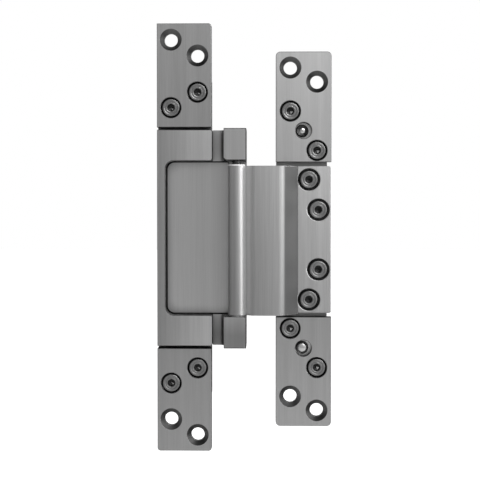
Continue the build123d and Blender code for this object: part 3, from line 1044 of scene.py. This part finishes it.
@dataclass
class DepthJack:
    """A jack screw with a bright collar and a bright stub in a hexagon rim dark with painted
    shade, in millimetres.

    The dish in the stub is listed by depth and by share of the floor's radius.
    """

    node: str
    body: str
    turn: float
    floor_radius: float
    floor_depth: float = 1.0
    dish_depth: float = 0.55
    dish_radius: float = 0.2
    dish: tuple[tuple[float, float], ...] = ((0.62, 0.55), (0.85, 0.9))
    hexagon_share: float = 0.8
    rim_share: float = 0.9
    rim_break: float = 0.25
    stub_length: float = 4.0
    stub_radius: float = 3.5
    stub_flare: float = 0.25
    collar_radius: float = 5.8
    collar_thickness: float = 2.0
    collar_break: float = 0.3
    thread: Thread = Thread(radius=4.0)

    def shape(self, length: float) -> TurnedShape:
        """Lists the jack's rings.

        Args:
            length: The whole length, from the stub's face to the tip.

        Returns:
            The shape to build.
        """
        front = self.stub_length
        back = front + self.collar_thickness
        floor = self.floor_radius
        stub = self.stub_radius
        collar = self.collar_radius
        rings = (
            Ring(self.dish_depth, self.dish_radius),
            *(Ring(depth, floor * share) for depth, share in self.dish),
            # Painted shade on the floor and the hexagon rim round the stub.
            Ring(self.floor_depth, floor, zone=Zone.DARK),
            Ring(self.rim_break, stub * self.hexagon_share, hexagonal=True, zone=Zone.DARK),
            Ring(0.0, stub * self.rim_share, zone=Zone.DARK),
            Ring(self.rim_break, stub, zone=Zone.DARK),
            Ring(front - self.collar_break, stub),
            Ring(front, stub + self.stub_flare),
            Ring(front, collar - self.collar_break),
            Ring(front + self.collar_break, collar),
            Ring(back - self.collar_break, collar),
            Ring(back, collar - self.collar_break),
            Ring(back, self.thread.radius),
            *self.thread.rings(back, length),
        )
        return TurnedShape(rings, self.thread.pitch)

    def build(self, finishes: Sequence[bpy.types.Material]) -> None:
        """Builds the jack in its node's place and dresses it.

        Args:
            finishes: The bright material and the painted shade material.
        """
        low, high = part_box(self.node)
        mesh = self.shape((high.y - low.y) / MM).mesh(f"{self.node}_mesh")
        jack = place_turned(f"{self.node}_turned", mesh, low, high, self.turn, finishes)
        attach(jack, self.body)
        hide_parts(self.node)
        log.info("built %s", jack.name)


# Sub-assemblies

@dataclass
class DressedGroup:
    """CAD nodes that keep their shape, each with its finish."""

    title: str
    finishes: dict[str, Finish]

    def dress(self, nodes: dict[str, bpy.types.Object]) -> None:
        """Puts each finish on its node.

        Args:
            nodes: The frame's nodes by name.
        """
        for node, finish in self.finishes.items():
            made = bpy.data.materials.get(finish.name) or finish.material()
            part = nodes[node]
            part.data.materials.clear()
            part.data.materials.append(made)
            log.info("%s: dressed %s in %s", self.title, node, made.name)


@dataclass
class ScrewSet:
    """The cap screws of one kind on one body, by the angles to which they were driven."""

    prefix: str
    body: str
    turns: tuple[float, ...]
    glint_reach: float

    def build(self, finishes: Sequence[bpy.types.Material]) -> None:
        """Builds every screw of the set.

        Args:
            finishes: The screws' materials.
        """
        for number, turn in enumerate(self.turns, start=1):
            CapScrew(f"{self.prefix}_{number}", self.body, turn, self.glint_reach).build(finishes)


# Studio

@dataclass
class Softbox:
    """A rectangular lamp that points at the hinge."""

    name: str
    place: tuple[float, float, float]
    size: tuple[float, float]
    power: float

    def build(self, target: Vector) -> None:
        """Makes the lamp.

        Args:
            target: The point that it faces.
        """
        lamp = bpy.data.lights.new(self.name, "AREA")
        lamp.shape = "RECTANGLE"
        lamp.size, lamp.size_y = self.size
        lamp.energy = self.power
        holder = bpy.data.objects.new(self.name, lamp)
        holder.location = self.place
        aim = (target - Vector(self.place)).to_track_quat("-Z", "Y")
        holder.rotation_euler = aim.to_euler()
        bpy.context.scene.collection.objects.link(holder)


@dataclass(frozen=True)
class Glow:
    """A soft bright region of the surround, as the metal mirrors it."""

    direction: tuple[float, float, float]
    sharpness: float
    level: float

    def build(self, tree: Tree, view: Socket) -> Socket:
        """Adds the glow's nodes.

        Args:
            tree: The world's node tree.
            view: The socket with the direction looked along.

        Returns:
            The socket with the glow's level in that direction.
        """
        centre = Vector(self.direction).normalized()
        turned = vector_node(tree, "DOT_PRODUCT", view, centre).outputs["Value"]
        facing = math_node(tree, "MAXIMUM", turned, 0.0)
        narrowed = math_node(tree, "POWER", facing, self.sharpness)
        return math_node(tree, "MULTIPLY", narrowed, self.level)


@dataclass
class Studio:
    """The camera, floor, lamps and background, in metres and radians."""

    camera_place: tuple[float, float, float] = (0.01708, -0.73275, 0.02008)
    camera_pitch: float = -0.0287
    camera_turn: float = 0.0206
    lens: float = 94.9
    sensor_width: float = 36.0
    floor_drop: float = 0.14
    floor_half: float = 7.0
    floor_level: float = 0.62
    floor_roughness: float = 0.9
    shadow_reach: tuple[float, float] = (0.25, 0.9)
    shadow_glow: tuple[float, float] = (0.6, 1.0)
    backdrop_reach: tuple[float, float] = (0.82, 0.98)
    surround_level: float = 0.26
    glows: tuple[Glow, ...] = (
        Glow((0.975, -0.2, 0.12), 6.0, 1.15),
        Glow((0.54, -0.72, 0.60), 5.0, 0.5),
    )
    softboxes: tuple[Softbox, ...] = (
        Softbox("right_softbox", (1.48, -0.36, 0.35), (1.2, 1.3), 7.2),
        Softbox("upper_softbox", (0.62, -0.8, 0.85), (0.9, 0.7), 9.0),
    )

    def build(self, lowest: float) -> None:
        """Sets the whole studio up.

        Args:
            lowest: The hinge's lowest point.
        """
        self.build_camera()
        self.build_floor(lowest)
        self.build_world()
        for box in self.softboxes:
            box.build(Vector((0.0, 0.0, 0.0)))
        bpy.context.scene.view_settings.view_transform = "Standard"
        log.info("built the studio")

    def build_camera(self) -> None:
        """Makes the camera at the photograph's viewpoint."""
        lens = bpy.data.cameras.new("studio_camera")
        lens.lens = self.lens
        lens.sensor_width = self.sensor_width
        camera = bpy.data.objects.new("studio_camera", lens)
        camera.location = self.camera_place
        camera.rotation_euler = (math.pi / 2 + self.camera_pitch, 0.0, self.camera_turn)
        bpy.context.scene.collection.objects.link(camera)
        bpy.context.scene.camera = camera

    def build_floor(self, lowest: float) -> None:
        """Makes the pale floor under the hinge.

        Args:
            lowest: The hinge's lowest point.
        """
        mesh = bpy.data.meshes.new("studio_floor")
        half = self.floor_half
        corners = [(-half, -half, 0), (half, -half, 0), (half, half, 0), (-half, half, 0)]
        mesh.from_pydata(corners, [], [(0, 1, 2, 3)])
        floor = bpy.data.objects.new("studio_floor", mesh)
        floor.location = (0.0, 0.0, lowest - self.floor_drop)
        bpy.context.scene.collection.objects.link(floor)
        floor.data.materials.append(self.floor_material())
        floor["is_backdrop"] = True

    def floor_material(self) -> bpy.types.Material:
        """Makes the floor's material: white to the camera, with the hinge's shadow near it.

        Returns:
            The node material.
        """
        made = bpy.data.materials.new("studio_floor_white")
        made.use_nodes = True
        tree = made.node_tree
        shader = tree.nodes["Principled BSDF"]
        shader.inputs["Base Color"].default_value = opaque(grey(self.floor_level))
        shader.inputs["Roughness"].default_value = self.floor_roughness
        shader.inputs["Emission Color"].default_value = opaque(grey(1.0))
        coordinates = tree.nodes.new("ShaderNodeTexCoord").outputs["Object"]
        reach = vector_node(tree, "LENGTH", coordinates).outputs["Value"]
        level = range_node(tree, reach, *self.shadow_reach, *self.shadow_glow, Blend.SMOOTH)
        path = tree.nodes.new("ShaderNodeLightPath")
        glow = math_node(tree, "MULTIPLY", level, path.outputs["Is Camera Ray"])
        tree.links.new(glow, shader.inputs["Emission Strength"])
        return made

    def build_world(self) -> None:
        """Makes the white background and the softer surround that the metal shows."""
        world = bpy.data.worlds.new("studio_world")
        bpy.context.scene.world = world
        world.use_nodes = True
        tree = world.node_tree
        background = tree.nodes["Background"]
        path = tree.nodes.new("ShaderNodeLightPath").outputs
        level = math_node(tree, "MAXIMUM", self.surround(tree, path), path["Is Camera Ray"])
        tree.links.new(level, background.inputs["Color"])
        background.inputs["Strength"].default_value = 1.0

    def surround(self, tree: Tree, path: Sequence[Socket]) -> Socket:
        """Makes the surround by direction: white behind the hinge, with soft glows in front.

        Args:
            tree: The world's node tree.
            path: The outputs of its Light Path node.

        Returns:
            The socket with the surround's level.
        """
        direction = tree.nodes.new("ShaderNodeTexCoord").outputs["Generated"]
        behind = range_node(tree, split_node(tree, direction).outputs["Y"], *self.backdrop_reach)
        mirrored = math_node(tree, "MAXIMUM", path["Is Glossy Ray"], path["Is Transmission Ray"])
        backdrop = math_node(tree, "MULTIPLY", behind, mirrored)
        level = self.surround_level
        for glow in self.glows:
            level = math_node(tree, "ADD", level, glow.build(tree, direction))
        return math_node(tree, "MAXIMUM", level, backdrop)


def main() -> None:
    """Loads the frame, then builds and dresses every sub-assembly."""
    logging.basicConfig(level=logging.INFO, format="%(name)s: %(message)s")
    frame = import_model()
    cad_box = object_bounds()
    build_shared_groups()
    jamb_side = DressedGroup("jamb side", {
        "jamb_end_plate_upper": JAMB_STEEL,
        "jamb_end_plate_lower": JAMB_STEEL,
        "jamb_housing": HOUSING_STEEL,
        "knuckle_leaf": LEAF_STEEL,
        **{f"leaf_screw_{number}": SCREW_STEEL for number in range(1, 5)},
    })
    knuckle = DressedGroup("knuckle", {
        "hinge_pin": PIN_STEEL,
        "pin_lock_screw_upper": SCREW_STEEL,
        "pin_lock_screw_lower": SCREW_STEEL,
        "thrust_washer_upper": WASHER_PLASTIC,
        "thrust_washer_lower": WASHER_PLASTIC,
        "barrel_bush_upper": BUSH_BRONZE,
        "barrel_bush_lower": BUSH_BRONZE,
    })
    door_side = DressedGroup("door side", {
        "gooseneck_arm": ARM_STEEL,
        "door_carrier": MILLED_STEEL,
        "door_end_plate_upper": DOOR_UPPER_LIT_STEEL,
        "door_end_plate_lower": DOOR_LOWER_SHADED_STEEL,
    })
    for group in (jamb_side, knuckle, door_side):
        group.dress(frame["nodes"])
    screw_steel = bpy.data.materials[SCREW_STEEL.name]
    screw_finishes = (screw_steel, SOCKET_SHADE_STEEL.material(), PAINTED_GLINT_STEEL.material())
    for screws in (
        ScrewSet("jamb_clamp_screw", "jamb_unit", (8.0, 22.0, 34.0, 50.0), 0.35),
        ScrewSet("door_clamp_screw", "door_plates", (5.0, 28.0, 41.0, 12.0), 0.7),
        ScrewSet("flange_screw", "carrier", (30.0, 17.0, 3.0, 52.0), 0.0),
    ):
        screws.build(screw_finishes)
    jack_finishes = (JACK_STEEL.material(), JACK_SHADE_STEEL.material())
    for jack in (
        DepthJack("depth_jack_upper", "upper_jack", turn=12.0, floor_radius=1.7),
        DepthJack("depth_jack_lower", "lower_jack", turn=40.0, floor_radius=2.6),
    ):
        jack.build(jack_finishes)
    Studio().build(cad_box[0][2])


if __name__ == "__main__":
    main()
